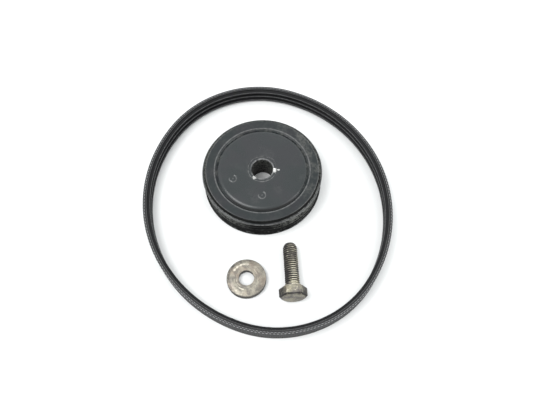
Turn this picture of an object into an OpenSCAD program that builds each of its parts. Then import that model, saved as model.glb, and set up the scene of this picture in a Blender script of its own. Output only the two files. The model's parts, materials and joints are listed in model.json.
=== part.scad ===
// Black steel V-groove pulley with its ribbed belt, axial bolt and thick washer,
// laid out on a flat surface. Millimetres, +Z up. The origin is on the surface
// at the centre of the belt loop.

/* [Pulley] */
// Outside diameter over the flanges
pulley_d = 68; // [66:1:80]
// Height of the grooved rim
rim_h = 15.6; // [15:0.1:18]
// Diameter over the crests between the grooves
crest_d = 66.4; // [64:0.1:66.4]
// Depth of one V groove
groove_depth = 2.2; // [1.6:0.1:2.4]
// Diameter of the opening in each end face of the rim
rim_opening_d = 53.8; // [50:0.1:55]
// Diameter of the shaft bore
bore_d = 12; // [8:0.5:12.5]
// Diameter of the hub sleeve
hub_d = 16.4; // [16:0.1:22]
// How far the front web stands above the rim
web_rise = 0.3; // [0:0.1:0.4]
// Sheet thickness of the two webs
web_t = 2.2; // [1.6:0.1:2.6]
// Centre of the pulley across the layout
pulley_x = -2.8; // [-10:0.1:10]
// Centre of the pulley along the layout
pulley_y = 15.5; // [5:0.1:25]

/* [Belt] */
// Number of ribs
rib_count = 3; // [2:1:4]
// Distance from rib to rib
rib_pitch = 3.56; // [3.2:0.01:3.6]
// Thickness from the back to the rib tips
belt_t = 3.8; // [3.4:0.1:4.6]
// Thickness of the outer cover
backing_t = 1.0; // [0.6:0.1:1.2]
// Thickness of the layer that holds the tension cords
cord_layer_t = 1.0; // [0.8:0.1:1.2]
// Longest outside length of the loop as it lies
loop_length = 154.4; // [150:0.1:160]
// Widest outside width of the loop as it lies
loop_width = 138.2; // [134:0.1:142]
// Outside radius at the two ends of the loop
loop_end_r = 61.3; // [58:0.1:64]
// Direction of the loop's long axis, counted from +X
loop_turn = 110.2; // [0:0.1:180]

/* [Washer] */
// Outside diameter
washer_d = 21.4; // [20:0.1:24]
// Hole diameter
washer_hole_d = 8.4; // [8.4:0.1:9]
// Thickness
washer_t = 3.5; // [2:0.1:4]
// Centre of the washer across the layout
washer_x = -11.0; // [-16:0.1:-8]
// Centre of the washer along the layout
washer_y = -44.5; // [-48:0.1:-40]

/* [Bolt] */
// Thread diameter, measured over the crests
thread_d = 7.9; // [7.8:0.05:8]
// Length under the head
bolt_length = 26; // [20:1:30]
// Hexagon size across the flats
head_af = 13; // [12:1:14]
// Height of the head
head_h = 5.1; // [4.8:0.1:5.8]
// Centre of the head's bearing face across the layout
bolt_x = 13.9; // [10:0.1:20]
// Centre of the head's bearing face along the layout
bolt_y = -51.4; // [-52:0.1:-48]
// Direction in which the bolt points, counted from +X
bolt_turn = 93; // [85:1:100]

/* [Hidden] */
$fn = 144;

black_paint = [0.16, 0.17, 0.18];
black_rubber = [0.10, 0.10, 0.11];
worn_zinc = [0.55, 0.52, 0.46];

// Pulley
pulley_r = pulley_d / 2;
crest_r = crest_d / 2;
root_r = crest_r - groove_depth;
groove_half_angle = 20;
flank_w = groove_depth * tan(groove_half_angle);
root_half_w = (rib_pitch * 0.72 - 2 * flank_w) / 2;
grooves_w = rib_count * rib_pitch;
groove_start = 2.1;
bevel_in = 2.1;
bevel_down = 1.15;
bead_w = 1.0;
bead_down = 0.45;
foot_chamfer = 0.5;
flange_step = 0.3;
rim_inner_r = 28.6;
lip_slope_w = 1.1;
lip_slope_down = 0.8;
seat_r = rim_opening_d / 2 - lip_slope_w;
lip_t = 4.2;
web_top = rim_h + web_rise;
shoulder_start_r = 23.2;
shoulder_r = 2.9;
ledge_down = 1.2;
front_skirt = 4.4;
rear_inset = 1.6;
rear_skirt = 4.4;
hub_proud = -0.1;
hub_chamfer = 0.5;
hub_top = web_top + hub_proud;

// Belt
belt_w = rib_count * rib_pitch + 0.3;
rib_depth = 1.7;
rib_side = rib_depth * tan(groove_half_angle);
rib_tip_half_w = 0.5;
rib_foot = belt_t - rib_depth;
half_long = loop_length / 2;
half_short = loop_width / 2;
end_shift = half_long - loop_end_r;
side_r = (pow(end_shift, 2) + pow(half_short, 2) - pow(loop_end_r, 2))
         / (2 * (half_short - loop_end_r));
side_shift = side_r - half_short;
join_angle = atan2(side_shift, end_shift);

// Washer
washer_r = washer_d / 2;
washer_bevel_w = 2.2;
washer_bevel_down = 0.6;
washer_foot_chamfer = 0.25;

// Bolt
thread_r = thread_d / 2;
tip_chamfer = 0.9;
head_corner_r = head_af / 2 / cos(30);
crown_r = head_af / 2 * 0.98;
crown_drop = (head_corner_r - crown_r) * tan(30);
bolt_tilt = atan2(head_af / 2 - thread_r, bolt_length - tip_chamfer);
bolt_z = head_af / 2 * cos(bolt_tilt);

// Outline of one V groove as a list of points from its lower to its upper crest.
function groove_points(mid_z) = [
    [crest_r, mid_z - root_half_w - flank_w],
    [root_r, mid_z - root_half_w],
    [root_r, mid_z + root_half_w],
    [crest_r, mid_z + root_half_w + flank_w]
];

// Outline of one belt rib, from its lower to its upper foot. The first number
// is the depth below the belt's back, so the rib tip is the deepest point.
function rib_points(mid_z) = [
    [-rib_foot, mid_z - rib_tip_half_w - rib_side],
    [-belt_t, mid_z - rib_tip_half_w],
    [-belt_t, mid_z + rib_tip_half_w],
    [-rib_foot, mid_z + rib_tip_half_w + rib_side]
];

module at_pulley() {
    translate([pulley_x, pulley_y, 0]) children();
}

// Sweeps a section round the belt loop, which is an oval of four tangent arcs.
// The section's X is zero on the outside of the loop and negative inwards.
module round_the_loop() {
    rotate([0, 0, loop_turn]) for (side = [0, 180]) rotate([0, 0, side]) {
        translate([end_shift, 0, 0]) rotate([0, 0, -join_angle])
            rotate_extrude(angle = 2 * join_angle)
                translate([loop_end_r, 0]) children();
        translate([0, -side_shift, 0]) rotate([0, 0, join_angle])
            rotate_extrude(angle = 180 - 2 * join_angle)
                translate([side_r, 0]) children();
    }
}

module grooved_rim() {
    top_step = groove_start + grooves_w;
    grooves = [for (i = [0 : rib_count - 1])
        each groove_points(groove_start + (i + 0.5) * rib_pitch)];
    color(black_paint) at_pulley() rotate_extrude() polygon(concat(
        [[rim_opening_d / 2, 0], [pulley_r - foot_chamfer, 0],
         [pulley_r, foot_chamfer], [pulley_r, groove_start - flange_step],
         [crest_r, groove_start]],
        grooves,
        [[crest_r, top_step], [pulley_r, top_step + flange_step],
         [pulley_r, rim_h - bevel_down - bead_down], [pulley_r - bead_w, rim_h - bevel_down],
         [pulley_r - bevel_in, rim_h],
         [rim_opening_d / 2, rim_h], [seat_r, rim_h - lip_slope_down],
         [seat_r, rim_h - lip_t], [rim_inner_r, rim_h - lip_t - 1],
         [rim_inner_r, lip_t + 1], [seat_r, lip_t], [seat_r, lip_slope_down]]));
}

// A pressed dish with its flat face up: a flat disc, a rounded shoulder, a narrow
// ledge and a short skirt. The face is at height zero and the skirt hangs below it.
module pressed_web(skirt) {
    rotate_extrude() difference() {
        union() {
            translate([hub_d / 2, -ledge_down])
                square([shoulder_start_r - hub_d / 2, ledge_down]);
            translate([hub_d / 2, -skirt])
                square([seat_r - hub_d / 2, skirt - ledge_down]);
            translate([shoulder_start_r, -shoulder_r]) intersection() {
                circle(shoulder_r);
                translate([0, shoulder_r - ledge_down]) square([shoulder_r, ledge_down]);
            }
        }
        translate([hub_d / 2 - 1, -skirt - 1])
            square([seat_r - web_t - hub_d / 2 + 1, skirt - web_t + 1]);
    }
}

module front_web() {
    color(black_paint) at_pulley() translate([0, 0, web_top])
        pressed_web(front_skirt);
}

module rear_web() {
    color(black_paint) at_pulley() translate([0, 0, rear_inset])
        mirror([0, 0, 1]) pressed_web(rear_skirt);
}

module hub_sleeve() {
    color(black_paint) at_pulley() rotate_extrude() polygon([
        [bore_d / 2 + hub_chamfer, 0], [hub_d / 2, 0], [hub_d / 2, hub_top],
        [bore_d / 2 + hub_chamfer, hub_top],
        [bore_d / 2, hub_top - hub_chamfer], [bore_d / 2, hub_chamfer]]);
}

module belt_backing() {
    color(black_rubber) round_the_loop()
        translate([-backing_t, 0]) square([backing_t, belt_w]);
}

// The tension cords lie side by side inside this layer and are not drawn singly.
module belt_cord_layer() {
    color("dimgray") round_the_loop()
        translate([-backing_t - cord_layer_t, 0]) square([cord_layer_t, belt_w]);
}

module belt_ribs() {
    first_rib = (belt_w - (rib_count - 1) * rib_pitch) / 2;
    outer_face = backing_t + cord_layer_t;
    ribs = [for (i = [0 : rib_count - 1]) each rib_points(first_rib + i * rib_pitch)];
    color(black_rubber) round_the_loop() polygon(concat(
        [[-outer_face, 0], [-rib_foot, 0]], ribs,
        [[-rib_foot, belt_w], [-outer_face, belt_w]]));
}

module flat_washer() {
    color(worn_zinc) translate([washer_x, washer_y, 0]) rotate_extrude() polygon([
        [washer_hole_d / 2, 0], [washer_r - washer_foot_chamfer, 0],
        [washer_r, washer_foot_chamfer], [washer_r, washer_t - washer_bevel_down],
        [washer_r - washer_bevel_w, washer_t], [washer_hole_d / 2, washer_t]]);
}

// The bolt lies on the lower flat of its head and on the end of its thread.
module hex_bolt() {
    color(worn_zinc) translate([bolt_x, bolt_y, bolt_z])
        rotate([0, 0, bolt_turn]) rotate([0, 90 + bolt_tilt, 0]) {
            rotate_extrude() polygon([
                [0, -1], [thread_r, -1], [thread_r, bolt_length - tip_chamfer],
                [thread_r - tip_chamfer, bolt_length], [0, bolt_length]]);
            intersection() {
                translate([0, 0, -head_h])
                    rotate([0, 0, 30]) cylinder(r = head_corner_r, h = head_h, $fn = 6);
                rotate_extrude() polygon([
                    [0, -head_h], [crown_r, -head_h],
                    [head_corner_r + 0.1, -head_h + crown_drop + 0.1 * tan(30)],
                    [head_corner_r + 0.1, 0], [0, 0]]);
            }
        }
}

grooved_rim();
front_web();
rear_web();
hub_sleeve();
belt_backing();
belt_cord_layer();
belt_ribs();
flat_washer();
hex_bolt();
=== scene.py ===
"""Looks for a V-groove pulley laid out with its ribbed belt, hex bolt and washer."""
import json
import math

import bmesh
import bpy
from mathutils import Matrix, Vector, noise


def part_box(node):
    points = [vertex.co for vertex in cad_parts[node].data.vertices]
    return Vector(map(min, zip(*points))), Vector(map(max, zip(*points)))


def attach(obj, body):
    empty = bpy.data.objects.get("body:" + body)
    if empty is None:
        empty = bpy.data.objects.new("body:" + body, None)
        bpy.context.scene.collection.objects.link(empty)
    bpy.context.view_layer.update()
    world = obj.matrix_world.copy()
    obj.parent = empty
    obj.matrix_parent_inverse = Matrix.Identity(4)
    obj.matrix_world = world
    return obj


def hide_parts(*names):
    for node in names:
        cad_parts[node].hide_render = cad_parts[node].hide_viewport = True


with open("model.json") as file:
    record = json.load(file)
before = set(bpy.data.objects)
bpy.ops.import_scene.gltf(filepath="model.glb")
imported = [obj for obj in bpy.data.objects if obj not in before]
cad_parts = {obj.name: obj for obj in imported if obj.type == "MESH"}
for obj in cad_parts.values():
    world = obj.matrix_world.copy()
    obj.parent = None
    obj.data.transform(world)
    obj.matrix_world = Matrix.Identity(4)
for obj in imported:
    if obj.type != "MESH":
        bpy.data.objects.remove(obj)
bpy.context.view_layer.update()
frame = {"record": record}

MM = 0.001
TURN = 2 * math.pi

# Pulley profile, in mm
FLANGE_R = (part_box("grooved_rim")[1].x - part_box("grooved_rim")[0].x) / 2 / MM
RIM_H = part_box("grooved_rim")[1].z / MM
WEB_R = (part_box("front_web")[1].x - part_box("front_web")[0].x) / 2 / MM
WEB_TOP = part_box("front_web")[1].z / MM
WEB_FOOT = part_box("front_web")[0].z / MM
REAR_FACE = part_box("rear_web")[0].z / MM
REAR_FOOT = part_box("rear_web")[1].z / MM
HUB_R = (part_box("hub_sleeve")[1].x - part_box("hub_sleeve")[0].x) / 2 / MM
HUB_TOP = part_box("hub_sleeve")[1].z / MM
BORE_R = 6.0
CREST_R = 33.2
ROOT_R = 31.0
RIB_PITCH = 3.56
RIB_COUNT = 3
GROOVE_START = 2.1
GROOVE_HALF_ANGLE = math.radians(20)
LIP_SLOPE_W = 1.1
LIP_SLOPE_DOWN = 0.8
RIM_INNER_R = 28.6
LIP_T = 4.2
FLANGE_FOOT = 0.5
FLANGE_STEP = 0.3
BEVEL_IN = 2.1
BEVEL_DOWN = 1.15
BEAD_W = 1.0
BEAD_DOWN = 0.45
WEB_T = 2.2
SHOULDER_START_R = 23.2
SHOULDER_R = 2.9
LEDGE_DOWN = 1.2
HUB_CHAMFER = 0.5

# Wear and painted light on the pulley, in mm and radians: turns round its axis, or (radius,
# turn)
# LIGHT_SIDE: where the rim's top gets painted light; the next two: scuffing with painted
# reflection on the groove walls
LIGHT_SIDE = math.radians(20)
SCUFF_AND_SHEEN_RIGHT = math.radians(-40)
SCUFF_AND_SHEEN_LEFT = math.radians(-138)
PUNCH_MARKS = [(17.6, math.radians(201)), (16.6, math.radians(270))]
PUNCH_RING_R = 2.0
PUNCH_DEPTH = 0.20
PUNCH_GAP_TURN = 2.2
# Chips on the hub's top, as (radius, turn, size, how bare)
HUB_CHIPS = [(6.9, math.radians(-7), 2.0, 1.0), (8.0, math.radians(-6), 1.2, 0.9),
             (7.0, math.radians(232), 2.2, 0.53)]
# A chip in the disc beside the hub, as (x, y) from the pulley's axis
WEB_CHIP = (9.2, -0.7)

# Belt section and loop, in mm
BELT_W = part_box("belt_ribs")[1].z / MM
BELT_T = 3.8
BACKING_T = 1.0
CORD_LAYER_T = 1.0
RIB_DEPTH = 1.7
RIB_TIP_HALF_W = 0.5
LOOP_HALF_LONG = 77.2
LOOP_HALF_SHORT = 69.1
LOOP_END_R = 61.3
LOOP_TURN = math.radians(110.2)
LOOP_STEPS = 540

# Washer, in mm
WASHER_HOLE_R = 4.2
WASHER_BEVEL_W = 2.2
WASHER_BEVEL_DOWN = 0.6
IMPRINT_R = 5.85
# radius of a painted highlight on the washer's top
RIDGE_HIGHLIGHT_R = 7.9

# Bolt, in mm
THREAD_R = 3.95
THREAD_PITCH = 1.25
THREAD_DEPTH = 0.70
BOLT_LENGTH = 26.0
SHANK_MIDDLE = 12.5
HEAD_AF = 13.0
HEAD_H = 5.1
TAPER_L = 3.2
TAPER_CURVE = 0.12
THREAD_START = 0.5
BOLT_SEGMENTS = 96
RINGS_PER_PITCH = 14
CROWN_SHARE = 0.95
CROWN_SLOPE = math.radians(30)

# Points round each turned piece; the front disc's are fine for its punch marks
RIM_SEGMENTS = 384
FRONT_WEB_SEGMENTS = 640
REAR_WEB_SEGMENTS = 192
HUB_SEGMENTS = 320
WASHER_SEGMENTS = 256

PULLEY_AXIS = (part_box("grooved_rim")[0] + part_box("grooved_rim")[1]) / 2 / MM
WASHER_AXIS = (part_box("flat_washer")[0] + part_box("flat_washer")[1]) / 2 / MM


# ---------------------------------------------------------------- mesh helpers

def smoothstep(low, high, x):
    t = min(1.0, max(0.0, (x - low) / (high - low)))
    return t * t * (3 - 2 * t)


def rough_noise(x, y, z, scale):
    """Repeatable noise from about -1 to 1, with the place in mm and scale in 1/mm."""
    return noise.noise(Vector((x, y, z)) * scale)


def rounded(corners, radius, step=1.2, bends=4):
    """Rounds a closed outline's corners and splits its long sides.

    Returns points (a, b, edge), where edge is 1 on an outer corner, -1 on an
    inner one and 0 on a side. The corners run anticlockwise.
    """
    out = []
    count = len(corners)
    for i, corner in enumerate(corners):
        p = Vector(corner)
        before = Vector(corners[i - 1]) - p
        after = Vector(corners[(i + 1) % count]) - p
        cut = min(radius, 0.45 * before.length, 0.45 * after.length)
        a = p + before.normalized() * cut
        b = p + after.normalized() * cut
        side = 1 if before.x * after.y - before.y * after.x < 0 else -1
        for k in range(bends + 1):
            t = k / bends
            q = a * (1 - t) ** 2 + p * 2 * t * (1 - t) + b * t * t
            out.append((q.x, q.y, side * math.sin(math.pi * t)))
        following = Vector(corners[(i + 1) % count])
        far = Vector(corners[(i + 2) % count])
        next_cut = min(radius, 0.45 * after.length, 0.45 * (far - following).length)
        end = following - after.normalized() * next_cut
        pieces = int((end - b).length / step)
        for k in range(1, pieces + 1):
            q = b.lerp(end, k / (pieces + 1))
            out.append((q.x, q.y, 0.0))
    return out


def finish_mesh(name, verts, faces, marks, node_name, body, material):
    """Makes the object in metres, with named number attributes on its points."""
    mesh = bpy.data.meshes.new(name)
    mesh.from_pydata([Vector(v) * MM for v in verts], [], faces)
    for mark, values in marks.items():
        layer = mesh.attributes.new(mark, "FLOAT", "POINT")
        layer.data.foreach_set("value", values)
    bm = bmesh.new()
    bm.from_mesh(mesh)
    bmesh.ops.recalc_face_normals(bm, faces=bm.faces)
    bm.to_mesh(mesh)
    bm.free()
    mesh.polygons.foreach_set("use_smooth", [True] * len(mesh.polygons))
    mesh.materials.append(material)
    piece = bpy.data.objects.new(name, mesh)
    bpy.context.scene.collection.objects.link(piece)
    piece.modifiers.new("flat_sides", "WEIGHTED_NORMAL").weight = 80
    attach(piece, body)
    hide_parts(node_name)
    return piece


def ring_faces(rings, around):
    """Quads of a closed ring of closed rings: a torus-like skin."""
    faces = []
    for i in range(rings):
        j = (i + 1) % rings
        for k in range(around):
            m = (k + 1) % around
            faces.append((i * around + k, j * around + k,
                          j * around + m, i * around + m))
    return faces


def lathe(outline, axis, segments, shape):
    """Turns an outline round an axis. shape(r, angle, z, edge) may move a point
    and returns its new r and z and a dictionary of its marks."""
    verts, marks = [], {}
    for r, z, edge in outline:
        for k in range(segments):
            angle = TURN * k / segments
            rr, zz, found = shape(r, angle, z, edge)
            verts.append((axis.x + rr * math.cos(angle),
                          axis.y + rr * math.sin(angle), zz))
            for name, value in found.items():
                marks.setdefault(name, []).append(value)
    return verts, ring_faces(len(outline), segments), marks


def coat_faces(piece, coat, axis, chosen):
    """Gives coat to the faces for which chosen(radius, height) is true."""
    piece.data.materials.append(coat)
    for face in piece.data.polygons:
        middle = face.center / MM
        if chosen(math.hypot(middle.x - axis.x, middle.y - axis.y), middle.z):
            face.material_index = 1


def near_side(angle):
    """1 on the side towards the camera, fading to 0 before the left and right."""
    return smoothstep(0.45, 0.95, -math.sin(angle))


def painted_light_side(angle):
    """1 from the left and right round to the far side, fading to 0 nearby: where the creases get
    painted light.
    """
    return 1 - smoothstep(0.1, 0.7, -math.sin(angle))


def line_at(r, radius, inner, outer):
    """1 on a circle of this radius, fading between the distances inner and outer."""
    return 1 - smoothstep(inner, outer, abs(r - radius))


# ------------------------------------------------------------ material helpers

def new_material(name):
    material = bpy.data.materials.new(name)
    material.use_nodes = True
    tree = material.node_tree
    return material, tree, tree.nodes["Principled BSDF"]


def make(tree, kind, values=None, **settings):
    """Adds a node. values are its inputs: numbers, colours or other sockets."""
    item = tree.nodes.new("ShaderNode" + kind)
    for key, value in settings.items():
        setattr(item, key, value)
    for key, value in (values or {}).items():
        if isinstance(value, bpy.types.NodeSocket):
            tree.links.new(value, item.inputs[key])
        else:
            item.inputs[key].default_value = value
    return item


def place(tree):
    """Place on the object, in metres, which moves with the piece."""
    return make(tree, "TexCoord").outputs["Object"]


def grain(tree, scale, detail=3.0, rough=0.55, vector=None):
    where = vector if vector is not None else place(tree)
    item = make(tree, "TexNoise", {"Vector": where, "Scale": scale,
                                   "Detail": detail, "Roughness": rough})
    return item.outputs["Fac"]


def spread(tree, value, low, high, to_low=0.0, to_high=1.0):
    """Maps value from low..high to to_low..to_high with soft ends."""
    item = make(tree, "MapRange", {"Value": value, "From Min": low, "From Max": high,
                                   "To Min": to_low, "To Max": to_high},
                interpolation_type="SMOOTHSTEP")
    return item.outputs["Result"]


def maths(tree, operation, a, b=0.0):
    item = make(tree, "Math", operation=operation, use_clamp=False)
    for socket, value in zip(item.inputs, (a, b)):
        if isinstance(value, bpy.types.NodeSocket):
            tree.links.new(value, socket)
        else:
            socket.default_value = value
    return item.outputs["Value"]


def blend(tree, amount, first, second):
    """Mixes two colours."""
    item = make(tree, "Mix", data_type="RGBA")
    for socket, value in ((item.inputs["Factor"], amount),
                          (item.inputs[6], first), (item.inputs[7], second)):
        if isinstance(value, bpy.types.NodeSocket):
            tree.links.new(value, socket)
        elif isinstance(value, tuple):
            socket.default_value = (*value, 1.0)
        else:
            socket.default_value = value
    return item.outputs[2]


def mark(tree, name):
    return make(tree, "Attribute", attribute_name=name).outputs["Fac"]


def bumps(tree, shader, layers):
    """Stacks bump layers (height, strength, distance in metres) on a shader."""
    normal = None
    for height, strength, distance in layers:
        values = {"Height": height, "Strength": strength, "Distance": distance}
        if normal is not None:
            values["Normal"] = normal
        normal = make(tree, "Bump", values).outputs["Normal"]
    tree.links.new(normal, shader.inputs["Normal"])


# ------------------------------------------------------------------- materials

def black_paint(name, specular, texture, rub_and_highlight_colour):
    """Semi-gloss black paint: cloudy, with scuffing, paler on its outer corners from rubbing and
    painted highlight, darker in its inner corners as painted shade, bare in chips.

    texture scales its bumps and rub_and_highlight_colour is the colour of its paler outer
    corners.
    Marks: edge (1 outer corner, -1 inner), wear (0..1 dusting, scuffing and painted light), matt
    (0..1 dull) and bare (0..1 chipped to the metal).
    """
    material, tree, shader = new_material(name)
    shader.inputs["Specular IOR Level"].default_value = specular
    clouds = spread(tree, grain(tree, 45, 4), 0.35, 0.68)
    hue = spread(tree, grain(tree, 60, 2), 0.42, 0.60)
    fine = grain(tree, 1500, 3)
    speck = grain(tree, 650, 5, 0.7)
    patch = grain(tree, 170, 5, 0.65)
    paint = blend(tree, clouds, (0.0060, 0.0095, 0.0105), (0.0085, 0.0115, 0.0130))
    paint = blend(tree, maths(tree, "MULTIPLY", hue, 0.6), paint, (0.0110, 0.0105, 0.0135))
    # paler where the wear mark is: dusting, with painted light in the creases and on the rim
    # top's lit side
    dust_and_light = maths(tree, "MULTIPLY", mark(tree, "wear_and_painted_light"), spread(tree, patch, 0.38, 0.62))
    dust_and_light = maths(tree, "MULTIPLY", dust_and_light, spread(tree, speck, 0.42, 0.57, 0.10, 1.0))
    paint = blend(tree, dust_and_light, paint, (0.058, 0.059, 0.056))
    # paler outer corners: paint thinned by rubbing, and painted highlight
    corner = spread(tree, mark(tree, "edge"), 0.15, 0.95)
    rubbed_and_lit = maths(tree, "MULTIPLY", corner, spread(tree, speck, 0.34, 0.58, 0.35, 1.0))
    paint = blend(tree, rubbed_and_lit, paint, (rub_and_highlight_colour,) * 3)
    # darker inner corners and marked creases: painted shade
    painted_nook_shade = spread(tree, maths(tree, "MULTIPLY", mark(tree, "edge"), -1.0), 0.1, 0.9)
    paint = blend(tree, maths(tree, "MULTIPLY", painted_nook_shade, 0.8), paint, (0.004, 0.004, 0.004))
    chip = maths(tree, "ADD", mark(tree, "bare"),
                 maths(tree, "MULTIPLY", maths(tree, "SUBTRACT", speck, 0.5), 0.9))
    chip = spread(tree, chip, 0.42, 0.56)
    metal = blend(tree, fine, (0.30, 0.30, 0.29), (0.62, 0.61, 0.60))
    paint = blend(tree, chip, paint, metal)
    tree.links.new(paint, shader.inputs["Base Color"])
    tree.links.new(maths(tree, "MULTIPLY", chip, 0.9), shader.inputs["Metallic"])
    gloss = maths(tree, "ADD", spread(tree, grain(tree, 130, 3), 0.3, 0.7, 0.25, 0.34),
                  maths(tree, "MULTIPLY", dust_and_light, 0.30))
    gloss = maths(tree, "ADD", gloss, maths(tree, "MULTIPLY", mark(tree, "matt"), 0.25))
    gloss = maths(tree, "ADD", gloss, maths(tree, "MULTIPLY", painted_nook_shade, 0.2))
    tree.links.new(gloss, shader.inputs["Roughness"])
    bumps(tree, shader, [(grain(tree, 700, 2), 0.5 * texture, 0.00005),
                         (fine, 0.4 * texture, 0.00002),
                         (patch, 0.6 * texture, 0.00008),
                         (maths(tree, "SUBTRACT", 1.0, chip), 0.5, 0.00006)])
    return material


def groove_paint():
    """The grooved wall and the bore: flat black, paler on the crests from scuffing and painted
    reflection.

    Marks: edge (1 outer corner) and wear (0..1 scuffing, haze and painted reflection).
    """
    material, tree, shader = new_material("groove_paint")
    speck = grain(tree, 800, 5, 0.7)
    patch = grain(tree, 120, 4, 0.6)
    paint = blend(tree, spread(tree, patch, 0.35, 0.65), (0.0028, 0.0030, 0.0032),
                  (0.0070, 0.0072, 0.0070))
    # paler crests: scuffing and painted reflection
    corner = spread(tree, mark(tree, "edge"), 0.2, 1.0)
    rubbed_and_lit = maths(tree, "MULTIPLY", corner, spread(tree, patch, 0.40, 0.62, 0.15, 1.0))
    paint = blend(tree, rubbed_and_lit, paint, (0.110, 0.112, 0.110))
    # paler where the wear mark is: scuffing with painted reflection at the near right and near
    # left
    scuff_and_sheen = maths(tree, "MULTIPLY", mark(tree, "wear_and_painted_light"), spread(tree, speck, 0.42, 0.56))
    paint = blend(tree, scuff_and_sheen, paint, (0.170, 0.176, 0.162))
    tree.links.new(paint, shader.inputs["Base Color"])
    shader.inputs["Specular IOR Level"].default_value = 0.08
    tree.links.new(spread(tree, speck, 0.3, 0.7, 0.42, 0.60), shader.inputs["Roughness"])
    bumps(tree, shader, [(patch, 0.2, 0.00010), (speck, 0.2, 0.00004)])
    return material


def belt_rubber(name, colour, cut_colour, rough):
    """Moulded rubber with paler, rougher cut sides and paler corners from rubbing and painted
    highlight. Marks: cut and edge.
    """
    material, tree, shader = new_material(name)
    clouds = spread(tree, grain(tree, 70, 4), 0.35, 0.68)
    lint = grain(tree, 2600, 4, 0.7)
    deeper = tuple(0.7 * c for c in colour)
    rubber = blend(tree, clouds, deeper, colour)
    cut = maths(tree, "MULTIPLY", mark(tree, "cut"), spread(tree, lint, 0.30, 0.65, 0.55, 1.0))
    rubber = blend(tree, cut, rubber, cut_colour)
    # paler corners: rubbing and painted highlight
    corner = spread(tree, mark(tree, "edge"), 0.1, 0.9)
    worn_and_lit = maths(tree, "MULTIPLY", corner, spread(tree, lint, 0.38, 0.60, 0.3, 1.0))
    rubber = blend(tree, worn_and_lit, rubber, (0.190, 0.191, 0.195))
    tree.links.new(rubber, shader.inputs["Base Color"])
    shader.inputs["Specular IOR Level"].default_value = 0.18
    tree.links.new(spread(tree, lint, 0.3, 0.7, rough - 0.06, rough + 0.08),
                   shader.inputs["Roughness"])
    bumps(tree, shader, [(grain(tree, 450, 3), 0.15, 0.00008), (lint, 0.30, 0.00004)])
    return material


def belt_fabric():
    """The belt's woven back cover: crossed threads along the UV map, in mm.

    Marks: edge (1 frayed corner, paler from loose threads and painted highlight) and cut (1 in
    its dark bands, which are painted shade).
    """
    material, tree, shader = new_material("belt_fabric")
    uv = make(tree, "UVMap", uv_map="cover").outputs["UV"]
    threads = []
    for angle in (math.radians(60), math.radians(-60)):
        turned = make(tree, "Mapping", {"Vector": uv, "Rotation": (0, 0, angle)})
        wave = make(tree, "TexWave", {"Vector": turned.outputs["Vector"], "Scale": 0.33,
                                      "Distortion": 0.6, "Detail": 1.0},
                    wave_type="BANDS", bands_direction="X")
        threads.append(wave.outputs["Fac"])
    weave = maths(tree, "MAXIMUM", threads[0], threads[1])
    lint = grain(tree, 2600, 4, 0.7)
    clouds = spread(tree, grain(tree, 60, 4), 0.35, 0.68)
    cloth = blend(tree, weave, (0.005, 0.005, 0.0055), (0.040, 0.040, 0.0415))
    cloth = blend(tree, maths(tree, "MULTIPLY", clouds, 0.25), cloth, (0.030, 0.030, 0.031))
    # paler frayed corners: loose threads and painted highlight
    corner = spread(tree, mark(tree, "edge"), 0.2, 1.0)
    fray_and_highlight = maths(tree, "MULTIPLY", corner, spread(tree, threads[0], 0.25, 0.75, 0.10, 1.0))
    cloth = blend(tree, fray_and_highlight, cloth, (0.36, 0.36, 0.365))
    # the cut mark here holds the two dark bands: painted shade
    cut = maths(tree, "MULTIPLY", mark(tree, "cut"), 0.95)
    cloth = blend(tree, cut, cloth, (0.005, 0.005, 0.0055))
    tree.links.new(cloth, shader.inputs["Base Color"])
    shader.inputs["Specular IOR Level"].default_value = 0.14
    tree.links.new(spread(tree, weave, 0.0, 1.0, 0.72, 0.52), shader.inputs["Roughness"])
    bumps(tree, shader, [(weave, 0.6, 0.00015), (lint, 0.25, 0.00004)])
    return material


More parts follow.
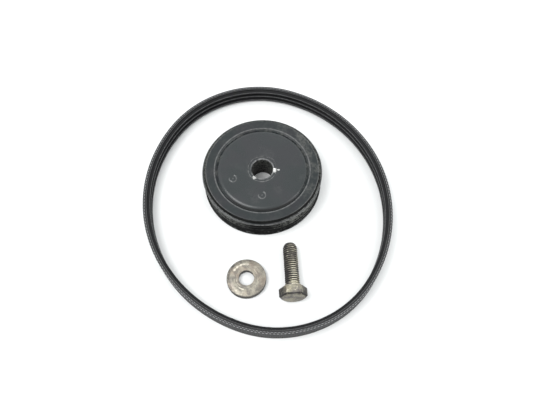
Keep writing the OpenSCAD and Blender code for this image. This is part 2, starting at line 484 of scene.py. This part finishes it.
def weathered_zinc(name, pale, dull, stain, grime_and_shade_colour, scale):
    """Old zinc plating: mottled, stained, darker in its nooks from soiling and painted shade.

    Marks: edge (1 corner paler from rubbing, and lit thread crests as painted highlight),
    grime (0..1 dark soiling and painted shade), crust (0..1 pale oxide and painted highlights).
    """
    material, tree, shader = new_material(name)
    patches = spread(tree, grain(tree, scale, 5, 0.65), 0.38, 0.62)
    blooms = spread(tree, grain(tree, scale * 0.45, 4), 0.45, 0.68)
    speck = grain(tree, 1500, 4, 0.7)
    lumps = grain(tree, 620, 4, 0.6)
    metal = blend(tree, patches, dull, pale)
    metal = blend(tree, maths(tree, "MULTIPLY", blooms, 0.55), metal, stain)
    bright = tuple(min(1.0, 2.2 * c) for c in pale)
    corner = spread(tree, mark(tree, "edge"), 0.3, 1.0)
    metal = blend(tree, maths(tree, "MULTIPLY", corner, 0.75), metal, bright)
    # the dark mix from the grime mark: soiling and painted shade
    dirt_and_shade = maths(tree, "ADD", mark(tree, "grime_and_shade"),
                 maths(tree, "MULTIPLY", maths(tree, "SUBTRACT", lumps, 0.5), 0.9))
    dirt_and_shade = spread(tree, dirt_and_shade, 0.30, 0.75)
    pits = spread(tree, speck, 0.57, 0.66)
    dirt_and_shade = maths(tree, "MAXIMUM", dirt_and_shade, maths(tree, "MULTIPLY", pits, 0.75))
    metal = blend(tree, dirt_and_shade, metal, grime_and_shade_colour)
    # the pale mix from the crust mark: oxide, and painted highlights on the washer's top and the
    # bolt's crests and head top
    crust_and_highlight = maths(tree, "ADD", mark(tree, "crust_and_highlight"),
                  maths(tree, "MULTIPLY", maths(tree, "SUBTRACT", lumps, 0.5), 1.4))
    crust_and_highlight = spread(tree, crust_and_highlight, 0.40, 0.75)
    metal = blend(tree, maths(tree, "MULTIPLY", crust_and_highlight, 0.75), metal, bright)
    tree.links.new(metal, shader.inputs["Base Color"])
    worn_and_lit = maths(tree, "MAXIMUM", dirt_and_shade, crust_and_highlight)
    tree.links.new(spread(tree, worn_and_lit, 0.0, 1.0, 0.75, 0.08), shader.inputs["Metallic"])
    gloss = spread(tree, grain(tree, scale * 2.2, 4), 0.3, 0.7, 0.34, 0.54)
    gloss = maths(tree, "ADD", gloss, maths(tree, "MULTIPLY", worn_and_lit, 0.25))
    tree.links.new(gloss, shader.inputs["Roughness"])
    bumps(tree, shader, [(grain(tree, 420, 4), 0.55, 0.00016), (speck, 0.30, 0.00006),
                         (maths(tree, "SUBTRACT", 1.0, dirt_and_shade), 0.4, 0.00006)])
    return material


# ---------------------------------------------------------------------- pulley

def groove_corners():
    """Corners of the V grooves from the lowest up, as (radius, height)."""
    flank = (CREST_R - ROOT_R) * math.tan(GROOVE_HALF_ANGLE)
    half_root = (RIB_PITCH * 0.72 - 2 * flank) / 2
    corners = []
    for i in range(RIB_COUNT):
        middle = GROOVE_START + (i + 0.5) * RIB_PITCH
        corners += [(CREST_R, middle - half_root - flank), (ROOT_R, middle - half_root),
                    (ROOT_R, middle + half_root), (CREST_R, middle + half_root + flank)]
    return corners


def grooved_rim(paint, groove_coat):
    """The rim ring: flanges, V grooves, the bead and bevel above them, and its lips."""
    top_step = GROOVE_START + RIB_COUNT * RIB_PITCH
    seat = WEB_R
    lip = seat + LIP_SLOPE_W
    bead_r = FLANGE_R - BEAD_W
    bevel_foot = RIM_H - BEVEL_DOWN
    corners = ([(lip, 0), (FLANGE_R - FLANGE_FOOT, 0), (FLANGE_R, FLANGE_FOOT),
                (FLANGE_R, GROOVE_START - FLANGE_STEP), (CREST_R, GROOVE_START)]
               + groove_corners()
               + [(CREST_R, top_step), (FLANGE_R, top_step + FLANGE_STEP),
                  (FLANGE_R, bevel_foot - BEAD_DOWN), (bead_r, bevel_foot),
                  (FLANGE_R - BEVEL_IN, RIM_H), (lip, RIM_H),
                  (seat, RIM_H - LIP_SLOPE_DOWN), (seat, RIM_H - LIP_SLOPE_DOWN - 0.1),
                  (seat, RIM_H - LIP_T),
                  (RIM_INNER_R, RIM_H - LIP_T - 1), (RIM_INNER_R, LIP_T + 1),
                  (seat, LIP_T), (seat, LIP_SLOPE_DOWN)])
    outline = rounded(corners, 0.26, step=0.6, bends=4)
    crest_low = CREST_R - 0.5

    def worn_and_lit(r, angle, z, edge):
        x, y = r * math.cos(angle), r * math.sin(angle)
        on_top = smoothstep(RIM_H - 0.30, RIM_H - 0.05, z)
        # small dents along the outer corners and waves in the flat face
        dent = max(0.0, rough_noise(x, y, z, 0.55) - 0.28) * max(0.0, edge)
        ripple = 0.04 * max(0.0, rough_noise(x, y, 3, 0.22)) * on_top
        # corners paler, partly from rubbing and partly as painted highlight, strongest at the
        # left and right
        sideways = smoothstep(0.25, 0.75, abs(math.cos(angle)))
        chipped = max(0.0, rough_noise(x, y, z, 0.8)) * (crest_low < r) * (z < top_step + 0.4)
        rubbed_and_lit = edge * (0.12 + 0.80 * sideways * (r > 30) + 0.35 * (r < 30)) + 1.5 * chipped
        # paler lines along the lip, the top's outer corner and the bead: paint thinned by
        # rubbing, and painted highlights
        rubbed_and_lit = max(rubbed_and_lit, 0.85 * on_top * line_at(r, lip + 0.1, 0.10, 0.60),
                     0.35 * on_top * line_at(r, FLANGE_R - BEVEL_IN - 0.1, 0.1, 0.4))
        bead = smoothstep(bead_r + 0.45, bead_r + 0.85, r) * (z > bevel_foot - 0.75)
        rubbed_and_lit = max(rubbed_and_lit, 0.9 * bead * (z < bevel_foot + 0.05))
        # the crease round the disc gets painted shade near the camera and painted light from the
        # left and right round to the far side
        in_crease = (1 - smoothstep(seat + 0.3, seat + 0.9, r)) * (z > RIM_H - 1.3)
        rubbed_and_lit -= 1.5 * in_crease * near_side(angle)
        crease_painted_light = 0.9 * in_crease * painted_light_side(angle)
        # the top face: a light dusting all round, and painted light on the side towards
        # LIGHT_SIDE
        toward_light = 0.5 + 0.5 * math.cos(angle - LIGHT_SIDE)
        top_dust_and_light = on_top * (0.17 + 0.83 * smoothstep(0.70, 0.97, toward_light))
        # scuffing with painted reflection on the groove walls at the near right and near left,
        # and a haze on the bevel's far side
        scuffed_and_sheen = max(smoothstep(0.70, 0.98, math.cos(angle - SCUFF_AND_SHEEN_RIGHT)),
                      0.7 * smoothstep(0.75, 0.98, math.cos(angle - SCUFF_AND_SHEEN_LEFT)))
        scuffed_and_sheen *= (r > 31.5) * smoothstep(2.0, 10.0, z) * (z < bevel_foot)
        away = smoothstep(-0.5, 0.1, math.sin(angle)) * (z >= bevel_foot) * (z < RIM_H - 0.05)
        return (r - 0.35 * dent, z - ripple - 0.2 * dent * (z > 7),
                {"edge": rubbed_and_lit, "wear_and_painted_light": max(top_dust_and_light, scuffed_and_sheen, 0.38 * away, crease_painted_light),
                 "matt": on_top, "bare": 0.0})

    def on_walls(reach, z):
        in_grooves = reach > ROOT_R - 0.5 and 0.3 < z < bevel_foot - BEAD_DOWN - 0.2
        on_bevel = bead_r - 1.0 < reach < bead_r + 0.35 and z > bevel_foot - 0.3
        return in_grooves or on_bevel

    verts, faces, marks = lathe(outline, PULLEY_AXIS, RIM_SEGMENTS, worn_and_lit)
    rim = finish_mesh("grooved_rim_painted", verts, faces, marks, "grooved_rim",
                      "pulley", paint)
    coat_faces(rim, groove_coat, PULLEY_AXIS, on_walls)
    return rim


def stroke_depth(x, y, ring_x, ring_y):
    """Share of the full depth, 0 to 1, in one generic punch mark: an open ring
    with a dot at its centre."""
    dx, dy = x - ring_x, y - ring_y
    reach = math.hypot(dx, dy)
    gap = smoothstep(0.55, 0.85, math.cos(math.atan2(dy, dx) - PUNCH_GAP_TURN))
    ring = line_at(reach, PUNCH_RING_R, 0.12, 0.50) * (1 - gap)
    dot = 1 - smoothstep(0.15, 0.50, reach)
    return max(ring, dot)


def front_web(paint):
    """The pressed front disc, with its shoulder, ledge, skirt and two punch marks."""
    flat_r = SHOULDER_START_R
    ledge = WEB_TOP - LEDGE_DOWN
    ledge_angle = math.acos(1 - LEDGE_DOWN / SHOULDER_R)
    outline = [(WEB_R, WEB_FOOT, 0.0), (WEB_R, (WEB_FOOT + ledge) / 2, 0.0)]
    outline += [(WEB_R, ledge - 0.04, 0.0), (WEB_R - 0.04, ledge, 0.0)]
    shoulder_steps = 16
    for k in range(shoulder_steps + 1):
        a = ledge_angle * (1 - k / shoulder_steps)
        outline.append((flat_r + SHOULDER_R * math.sin(a),
                        WEB_TOP - SHOULDER_R * (1 - math.cos(a)), 0.0))
    # finer rings on the flat where the punch marks are
    r = flat_r
    while r > HUB_R + 0.3:
        r -= 0.25 if 13.5 < r < 20.5 else 0.6
        outline.append((max(r, HUB_R), WEB_TOP, 0.0))
    outline += [(HUB_R, WEB_TOP - WEB_T, -0.6), (WEB_R - WEB_T, WEB_TOP - WEB_T, -1.0),
                (WEB_R - WEB_T, WEB_FOOT, 0.0)]

    def pressed(r, angle, z, edge):
        x, y = r * math.cos(angle), r * math.sin(angle)
        on_top = z > WEB_TOP - 0.01
        sunk = 0.0
        if on_top and 12.5 < r < 21.5:
            for reach, turn in PUNCH_MARKS:
                sunk += stroke_depth(x, y, reach * math.cos(turn), reach * math.sin(turn))
        near_hub = 1 - smoothstep(HUB_R, HUB_R + 1.4, r)
        in_crease = smoothstep(flat_r + 1.2, flat_r + 2.2, r) * (z > ledge - 0.5)
        # the crease: painted shade near the camera, and painted light from the left and right
        # round to the far side
        shade = in_crease * near_side(angle)
        dust_and_light = in_crease * painted_light_side(angle)
        cloud = smoothstep(0.15, 0.5, rough_noise(x, y, 1, 0.12))
        chip = math.hypot(x - WEB_CHIP[0], 1.6 * (y - WEB_CHIP[1]))
        return (r, z - PUNCH_DEPTH * sunk,
                {"edge": edge + 0.7 * sunk - shade, "matt": shade,
                 "wear_and_painted_light": 0.4 * near_hub + 0.15 * cloud + 0.9 * dust_and_light,
                 "bare": 0.75 * (1 - smoothstep(0.3, 1.6, chip))})

    verts, faces, marks = lathe(outline, PULLEY_AXIS, FRONT_WEB_SEGMENTS, pressed)
    return finish_mesh("front_web_painted", verts, faces, marks, "front_web",
                       "pulley", paint)


def rear_web(paint):
    """The matching rear disc, which faces the surface."""
    flat_r = SHOULDER_START_R
    corners = [(HUB_R, REAR_FACE), (flat_r, REAR_FACE)]
    shoulder_steps = 5
    for k in range(1, shoulder_steps + 1):
        a = math.acos(1 - LEDGE_DOWN / SHOULDER_R) * k / shoulder_steps
        corners.append((flat_r + SHOULDER_R * math.sin(a),
                        REAR_FACE + SHOULDER_R * (1 - math.cos(a))))
    corners += [(WEB_R, REAR_FACE + LEDGE_DOWN), (WEB_R, REAR_FOOT),
                (WEB_R - WEB_T, REAR_FOOT), (WEB_R - WEB_T, REAR_FACE + WEB_T),
                (HUB_R, REAR_FACE + WEB_T)]
    outline = rounded(corners, 0.15, step=1.5, bends=2)

    def plain(r, angle, z, edge):
        return r, z, {"edge": 0.5 * edge, "wear_and_painted_light": 0.35, "matt": 0.3, "bare": 0.0}

    verts, faces, marks = lathe(outline, PULLEY_AXIS, REAR_WEB_SEGMENTS, plain)
    return finish_mesh("rear_web_painted", verts, faces, marks, "rear_web",
                       "pulley", paint)


def hub_sleeve(paint, bore_coat):
    """The bored sleeve that joins the two discs, chipped round its top."""
    mouth = BORE_R + HUB_CHAMFER
    corners = [(mouth, 0), (HUB_R, 0), (HUB_R, HUB_TOP), (mouth, HUB_TOP),
               (BORE_R, HUB_TOP - HUB_CHAMFER), (BORE_R, HUB_CHAMFER)]
    outline = rounded(corners, 0.20, step=0.3, bends=5)

    def chipped(r, angle, z, edge):
        x, y = r * math.cos(angle), r * math.sin(angle)
        at_top = z > HUB_TOP - 1.4
        bare = 0.0
        for reach, turn, size, bareness in HUB_CHIPS:
            away = math.hypot(x - reach * math.cos(turn), y - reach * math.sin(turn))
            bare = max(bare, bareness * (1 - smoothstep(0.35 * size, size, away)) * at_top)
        nick = 0.25 * bare * max(0.0, 0.5 + rough_noise(x, y, z, 1.3))
        # paler rings at the bore's mouth and the sleeve's outer corner: paint thinned by
        # rubbing, and painted highlight
        mouth_wear_and_highlight = at_top * line_at(r, mouth - 0.1, 0.2, 0.6)
        ring_wear_and_highlight = at_top * line_at(r, HUB_R - 0.1, 0.05, 0.35)
        rough = 0.75 + 0.5 * rough_noise(x, y, 5, 0.7)
        depth = 0.05 * rough_noise(x, y, 2, 1.1) * at_top * (edge > 0.1)
        rubbed_and_lit = max(0.75 * mouth_wear_and_highlight, 0.80 * ring_wear_and_highlight) * rough
        return r, z - nick - abs(depth), {"edge": rubbed_and_lit,
                                          "wear_and_painted_light": 0.35, "matt": 0.4, "bare": bare}

    verts, faces, marks = lathe(outline, PULLEY_AXIS, HUB_SEGMENTS, chipped)
    hub = finish_mesh("hub_sleeve_painted", verts, faces, marks, "hub_sleeve",
                      "pulley", paint)
    coat_faces(hub, bore_coat, PULLEY_AXIS, lambda reach, z: reach < BORE_R + 0.05)
    return hub


# ------------------------------------------------------------------------ belt

def loop_point(turn):
    """Point and outward direction on the belt's outside, where the outward
    direction makes the angle turn with the loop's long axis."""
    end_shift = LOOP_HALF_LONG - LOOP_END_R
    side_r = ((end_shift ** 2 + LOOP_HALF_SHORT ** 2 - LOOP_END_R ** 2)
              / (2 * (LOOP_HALF_SHORT - LOOP_END_R)))
    side_shift = side_r - LOOP_HALF_SHORT
    join = math.atan2(side_shift, end_shift)
    out = Vector((math.cos(turn), math.sin(turn)))
    if abs(math.atan2(abs(out.y), abs(out.x))) < join:
        centre = Vector((math.copysign(end_shift, out.x), 0))
        radius = LOOP_END_R
    else:
        centre = Vector((0, -math.copysign(side_shift, out.y)))
        radius = side_r
    spin = Matrix.Rotation(LOOP_TURN, 2)
    return spin @ (centre + out * radius), spin @ out


def sweep_belt(name, node_name, outline, material, cut_side, uv=False):
    """Sweeps a section round the loop. outline points are (depth, height, edge),
    with the depth counted inwards from the belt's back. cut_side(depth, height)
    gives the cut mark, which on the backing holds its bands of painted shade, and uv adds the
    cover's map."""
    verts, edges, cuts, lengths = [], [], [], []
    travelled, previous = 0.0, None
    for k in range(LOOP_STEPS):
        point, out = loop_point(TURN * k / LOOP_STEPS)
        if previous is not None:
            travelled += (point - previous).length
        previous = point
        lengths.append(travelled)
        for depth, height, edge in outline:
            spot = point - out * depth
            verts.append((spot.x, spot.y, height))
            edges.append(edge)
            cuts.append(cut_side(depth, height))
    around = len(outline)
    piece = finish_mesh(name, verts, ring_faces(LOOP_STEPS, around),
                        {"edge": edges, "cut": cuts}, node_name, "belt", material)
    if uv:
        layer = piece.data.uv_layers.new(name="cover")
        for face in piece.data.polygons:
            steps = [piece.data.loops[i].vertex_index // around
                     for i in face.loop_indices]
            wraps = max(steps) - min(steps) > 1
            for i, step in zip(face.loop_indices, steps):
                index = piece.data.loops[i].vertex_index
                along = travelled + 0.8 if wraps and step == 0 else lengths[step]
                depth, height, _ = outline[index % around]
                layer.data[i].uv = (along, height - depth)
    return piece


def on_cut_side(depth, height):
    """1 on the belt's two cut sides and 0 on its moulded faces."""
    return 1.0 - smoothstep(0.02, 0.30, min(height, BELT_W - height))


def on_painted_shade_band(depth, height):
    """1 along the two bands of painted shade on the belt's back, under its frayed edges."""
    under_top = 1 - smoothstep(0.35, 0.75, abs(BELT_W - 1.45 - height))
    return max(under_top, 1 - smoothstep(1.0, 2.4, height)) * (depth < 0.5)


def belt_backing(fabric):
    corners = [(0, BELT_W), (0, 0), (BACKING_T, 0), (BACKING_T, BELT_W)]
    outline = rounded(corners, 0.34, step=0.4, bends=5)
    return sweep_belt("belt_backing_fabric", "belt_backing", outline,
                      fabric, on_painted_shade_band, uv=True)


def belt_cord_layer(rubber):
    sunk = 0.10
    corners = [(BACKING_T, BELT_W - sunk), (BACKING_T, sunk),
               (BACKING_T + CORD_LAYER_T, sunk), (BACKING_T + CORD_LAYER_T, BELT_W - sunk)]
    outline = rounded(corners, 0.12, step=0.5, bends=2)
    return sweep_belt("belt_cord_layer_rubber", "belt_cord_layer", outline,
                      rubber, on_cut_side)


def belt_ribs(rubber):
    foot = BELT_T - RIB_DEPTH
    side = RIB_DEPTH * math.tan(GROOVE_HALF_ANGLE)
    first = (BELT_W - (RIB_COUNT - 1) * RIB_PITCH) / 2
    back = BACKING_T + CORD_LAYER_T
    corners = [(back, BELT_W), (back, 0), (foot, 0)]
    for i in range(RIB_COUNT):
        middle = first + i * RIB_PITCH
        corners += [(foot, middle - RIB_TIP_HALF_W - side), (BELT_T, middle - RIB_TIP_HALF_W),
                    (BELT_T, middle + RIB_TIP_HALF_W), (foot, middle + RIB_TIP_HALF_W + side)]
    corners += [(foot, BELT_W)]
    outline = rounded(corners, 0.18, step=0.5, bends=3)
    return sweep_belt("belt_ribs_rubber", "belt_ribs", outline,
                      rubber, on_cut_side)


# -------------------------------------------------------------- washer and bolt

def flat_washer(zinc):
    """The thick bevelled washer, with the ring that a bolt head pressed in."""
    low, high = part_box("flat_washer")
    radius = (high.x - low.x) / 2 / MM
    top = high.z / MM
    hole = WASHER_HOLE_R
    corners = [(hole, 0), (radius - 0.25, 0), (radius, 0.25),
               (radius, top - WASHER_BEVEL_DOWN),
               (radius - 0.35, top - 0.52), (radius - WASHER_BEVEL_W, top - 0.12),
               (radius - 2.7, top), (6.2, top), (6.0, top - 0.07), (5.7, top - 0.07),
               (5.5, top), (hole, top)]
    outline = rounded(corners, 0.12, step=0.3, bends=4)

    def battered(r, angle, z, edge):
        x, y = r * math.cos(angle), r * math.sin(angle)
        dent = max(0.0, rough_noise(x, y, z, 0.6) - 0.15)
        drop = 0.10 * dent * (z > top - 1.0) * (r > 6.5)
        # the side wall painted dark, and painted shade on the hole's wall and along the bevel
        # band, most at its near edge
        side = (r > radius - 0.3) * (z < top - 0.55)
        hole_wall = (r < hole + 0.1) * (z < top - 0.2)
        band = smoothstep(8.6, 9.4, r) * (z > top - 0.7)
        band *= 0.34 + 0.22 * math.cos(angle - math.radians(150))
        band = max(band, 0.7 * smoothstep(9.9, 10.4, r) * smoothstep(0.3, 0.8, -math.sin(angle)))
        # the ring that a bolt head pressed in, a painted highlight on the far left, and a bright
        # streak from rubbing
        imprint = line_at(r, IMPRINT_R, 0.0, 0.40) * (z > top - 0.3)
        imprint *= smoothstep(0.2, 0.8, math.cos(angle - math.radians(215)))
        ridge_highlight = line_at(r, RIDGE_HIGHLIGHT_R, 0.2, 1.3) * (z > top - 0.7)
        ridge_highlight *= smoothstep(0.35, 0.95, math.cos(angle - math.radians(118)))
        streak = line_at(r, IMPRINT_R + 0.75, 0.1, 0.6) * (z > top - 0.3)
        streak *= smoothstep(0.95, 0.99, math.cos(angle - math.radians(246)))
        grime_and_shade = max(0.95 * side, 0.85 * hole_wall, band, 0.55 * imprint, 0.14)
        return (r - 0.2 * dent * max(0.0, edge) * (r > 6), z - drop,
                {"edge": 0.6 * edge, "grime_and_shade": grime_and_shade, "crust_and_highlight": max(0.68 * ridge_highlight, 0.78 * streak)})

    verts, faces, marks = lathe(outline, WASHER_AXIS, WASHER_SEGMENTS, battered)
    return finish_mesh("flat_washer_zinc", verts, faces, marks, "flat_washer",
                       "washer", zinc)


def bolt_frame():
    """Matrix from bolt space, in mm, to the layout, in mm: +Z runs along the
    shank from the head's bearing face, and +Y is up from the lying head."""
    mount = next(m for m in frame["record"]["mounts"] if m["name"] == "bolt_shank")
    along = Vector(mount["axis"]).normalized()
    across = Vector((0, 0, 1)).cross(along).normalized()
    up = along.cross(across)
    base = Vector(mount["pos_m"]) / MM - along * SHANK_MIDDLE
    turn = Matrix((across, up, along)).transposed()
    return Matrix.Translation(base) @ turn.to_4x4()


def thread_radius(z, angle):
    """Radius of a right-hand thread, with its run-out below the head and the
    taper at its end, and how near the point is to a crest (0..1)."""
    phase = (z / THREAD_PITCH - angle / TURN) % 1.0
    ramp = abs(2 * phase - 1)
    tooth = min(1.0, max(0.0, (ramp - 0.12) / 0.76))
    depth = THREAD_DEPTH * smoothstep(1.2, 2.8, z)
    radius = THREAD_R - depth * (1 - tooth)
    taper = max(0.0, z - (BOLT_LENGTH - TAPER_L))
    return min(radius, THREAD_R - TAPER_CURVE * taper ** 2), tooth


def hex_reach(angle):
    """Distance from the axis to the hexagon's side. A corner points along +X."""
    local = angle % (math.pi / 3) - math.pi / 6
    return HEAD_AF / 2 / math.cos(local)


def hex_bolt(zinc):
    """The lying bolt: a crowned hexagon head, and a shank with a real helix."""
    segments = BOLT_SEGMENTS
    place_it = bolt_frame()
    crown_r = HEAD_AF / 2 * CROWN_SHARE
    slope = math.tan(CROWN_SLOPE)

    def head_row(inset, height_of):
        row = []
        for k in range(segments):
            angle = TURN * k / segments
            reach = hex_reach(angle) - inset
            row.append((reach * math.cos(angle), reach * math.sin(angle),
                        height_of(reach + inset)))
        return row

    def round_row(radius, z):
        return [(radius * math.cos(TURN * k / segments),
                 radius * math.sin(TURN * k / segments), z) for k in range(segments)]

    def crown(reach):
        return -HEAD_H + max(0.0, reach - crown_r) * slope

    def head_flat(inset, share):
        """A ring down the head's six flats, at a share of the head's height."""
        return head_row(inset, lambda reach: -HEAD_H * share)

    # rings of points with their edge and grime marks, from the crown to the shank; the grime
    # mark here is soiling and painted shade
    rows = [(round_row(0.02, -HEAD_H + 0.02), 0.0, 0.16)]
    for radius in (1.0, 2.0, 3.0, 4.0, 5.0, 5.6):
        rows.append((round_row(radius, -HEAD_H + 0.03 * math.cos(radius)), 0.0, 0.16))
    rows += [(round_row(crown_r, -HEAD_H + 0.04), 0.0, 0.45),
             (head_row(0.22, lambda reach: crown(reach - 0.22) + 0.03), 0.0, 0.75),
             (head_row(0.05, lambda reach: crown(reach) + 0.03), 0.2, 0.95),
             (head_row(0.0, lambda reach: crown(reach) + 0.22), 0.2, 0.80)]
    rows += [(head_flat(0.0, share), 0.0, 0.25) for share in (0.78, 0.62, 0.46, 0.30, 0.15)]
    rows += [(head_flat(0.05, 0.012), 0.8, 0.3), (head_flat(0.30, 0.0), 0.3, 0.5),
             (round_row(THREAD_R + 1.2, 0.0), 0.0, 0.8),
             (round_row(THREAD_R + 0.25, 0.0), -0.5, 1.0),
             (round_row(THREAD_R, 0.25), -0.5, 1.0)]

    verts, edges, grime_and_shade, crust_and_highlight = [], [], [], []
    for row, edge, dirt_and_shade in rows:
        for x, y, z in row:
            # the head's sides painted darker and its top paler: painted shade and painted light
            sideways = smoothstep(0.50, 0.80, abs(x) / math.hypot(x, y)) * (z > -HEAD_H + 0.4)
            on_top = smoothstep(0.55, 0.80, y / math.hypot(x, y)) * (z > -HEAD_H + 0.6)
            verts.append((x, y, z))
            edges.append(edge)
            grime_and_shade.append(dirt_and_shade * (1 - 0.3 * on_top) + 0.42 * sideways)
            crust_and_highlight.append(0.36 * on_top)
    thread_l = BOLT_LENGTH - THREAD_START
    count = int(thread_l / THREAD_PITCH * RINGS_PER_PITCH)
    for i in range(count + 1):
        z = THREAD_START + thread_l * i / count
        for k in range(segments):
            angle = TURN * k / segments
            radius, tooth = thread_radius(z, angle)
            x, y = math.cos(angle), math.sin(angle)
            flaw = 0.16 * max(0.0, rough_noise(4 * x, 4 * y, z, 0.7))
            radius -= flaw * tooth
            verts.append((radius * x, radius * y, z))
            near_head = 1 - smoothstep(2.5, 4.5, z)
            # lit: painted highlights on the crests right of centre, and painted glints on the
            # far half
            lit = smoothstep(-0.95, -0.40, x) * (1 - smoothstep(-0.10, 0.35, x)) * (y > 0)
            far_half = smoothstep(12, 18, z)
            glint = smoothstep(-0.1, 0.4, rough_noise(3 * x, 3 * y, 0.8 * z, 1.0)) * (y > 0)
            lit = max(lit * (1 - 0.5 * far_half), 0.8 * glint * far_half)
            edges.append(max(0.0, tooth - 0.62) * 2.6 * lit)
            # the left side painted darker as painted shade, and the roots darker from soiling
            # and painted shade
            left_side = smoothstep(0.05, 0.75, x) * (1 - 0.3 * far_half)
            grime_and_shade.append((1.0 - 0.9 * tooth) * (1 - near_head) + 0.55 * left_side
                         + 0.10 * far_half + 0.12 * near_head - 0.2 * lit * tooth)
            crust_and_highlight.append(0.40 * near_head * (y > 0) + 0.75 * lit * tooth ** 2)
    tip_r = THREAD_R - TAPER_CURVE * TAPER_L ** 2
    for radius in (tip_r - 0.1, tip_r - 0.5, 1.0, 0.02):
        verts += round_row(radius, BOLT_LENGTH - 0.02)
        edges += [0.0] * segments
        grime_and_shade += [0.35] * segments
        crust_and_highlight += [0.0] * segments
    rings = len(verts) // segments
    faces = []
    for i in range(rings - 1):
        for k in range(segments):
            m = (k + 1) % segments
            faces.append((i * segments + k, i * segments + m,
                          (i + 1) * segments + m, (i + 1) * segments + k))
    faces.append(tuple(range(segments - 1, -1, -1)))
    faces.append(tuple(range((rings - 1) * segments, rings * segments)))
    verts = [tuple(place_it @ Vector(v)) for v in verts]
    marks = {"edge": edges, "grime_and_shade": grime_and_shade, "crust_and_highlight": crust_and_highlight}
    return finish_mesh("hex_bolt_zinc", verts, faces, marks,
                       "hex_bolt", "bolt", zinc)


# ------------------------------------------------------------- stage and lights

def floor():
    mesh = bpy.data.meshes.new("floor")
    bm = bmesh.new()
    bmesh.ops.create_grid(bm, x_segments=2, y_segments=2, size=3.0)
    bm.to_mesh(mesh)
    bm.free()
    material, tree, shader = new_material("white_board")
    shade = blend(tree, grain(tree, 8, 2), (0.71, 0.71, 0.71), (0.73, 0.73, 0.73))
    tree.links.new(shade, shader.inputs["Base Color"])
    shader.inputs["Roughness"].default_value = 0.9
    shader.inputs["Specular IOR Level"].default_value = 0.1
    mesh.materials.append(material)
    board = bpy.data.objects.new("floor", mesh)
    bpy.context.scene.collection.objects.link(board)


def soft_box(name, place_m, size, energy):
    """A square lamp at place_m, in metres, which faces the layout."""
    light = bpy.data.lights.new(name, "AREA")
    light.shape = "SQUARE"
    light.size = size
    light.energy = energy
    lamp = bpy.data.objects.new(name, light)
    lamp.location = place_m
    lamp.rotation_euler = (-lamp.location).to_track_quat("-Z", "Y").to_euler()
    bpy.context.scene.collection.objects.link(lamp)


def light_room():
    """A pale room that is dark only low down behind the camera, with a soft box
    high on the left and a weaker one low on the right."""
    world = bpy.data.worlds.new("room")
    bpy.context.scene.world = world
    world.use_nodes = True
    tree = world.node_tree
    way = make(tree, "TexCoord").outputs["Generated"]
    facing = make(tree, "VectorMath", {0: way, 1: (-0.10, 0.75, 0.65)},
                  operation="DOT_PRODUCT")
    glow = spread(tree, facing.outputs["Value"], -0.65, 0.35, 0.15, 1.60)
    back = tree.nodes["Background"]
    back.inputs["Color"].default_value = (0.97, 1.0, 1.0, 1.0)
    tree.links.new(glow, back.inputs["Strength"])
    soft_box("key", (-0.36, -0.12, 0.74), 0.45, 4.2)
    soft_box("fill", (0.63, -0.30, 0.42), 0.36, 2.2)


def camera():
    """Looks down on the layout from the bolt's side."""
    elevation = math.radians(65.3)
    distance = 0.3124
    aim = Vector((0.00444, -0.00064, 0.0))
    data = bpy.data.cameras.new("camera")
    data.sensor_width = 36.0
    data.lens = 35.35
    eye = bpy.data.objects.new("camera", data)
    eye.location = aim + distance * Vector((0, -math.cos(elevation), math.sin(elevation)))
    eye.rotation_euler = (math.pi / 2 - elevation, 0, 0)
    bpy.context.scene.collection.objects.link(eye)
    bpy.context.scene.camera = eye


def build():
    paint = black_paint("black_paint", 0.5, 0.04, 0.10)
    groove_coat = groove_paint()
    grooved_rim(black_paint("rim_paint", 0.32, 0.45, 0.095), groove_coat)
    front_web(paint)
    rear_web(paint)
    hub_sleeve(black_paint("hub_paint", 0.45, 0.20, 0.20), groove_coat)
    belt_backing(belt_fabric())
    belt_cord_layer(belt_rubber("cord_layer", (0.012, 0.012, 0.0125),
                                (0.022, 0.022, 0.0225), 0.62))
    belt_ribs(belt_rubber("belt_rubber", (0.0050, 0.0050, 0.0058), (0.058, 0.058, 0.059), 0.58))
    flat_washer(weathered_zinc("washer_zinc", (0.290, 0.268, 0.222), (0.150, 0.137, 0.120),
                               (0.245, 0.192, 0.150), (0.040, 0.037, 0.033), 330))
    hex_bolt(weathered_zinc("bolt_zinc", (0.310, 0.290, 0.225), (0.125, 0.112, 0.104),
                            (0.215, 0.190, 0.135), (0.018, 0.016, 0.015), 330))
    floor()
    light_room()
    camera()
    bpy.context.scene.view_settings.view_transform = "Standard"


build()
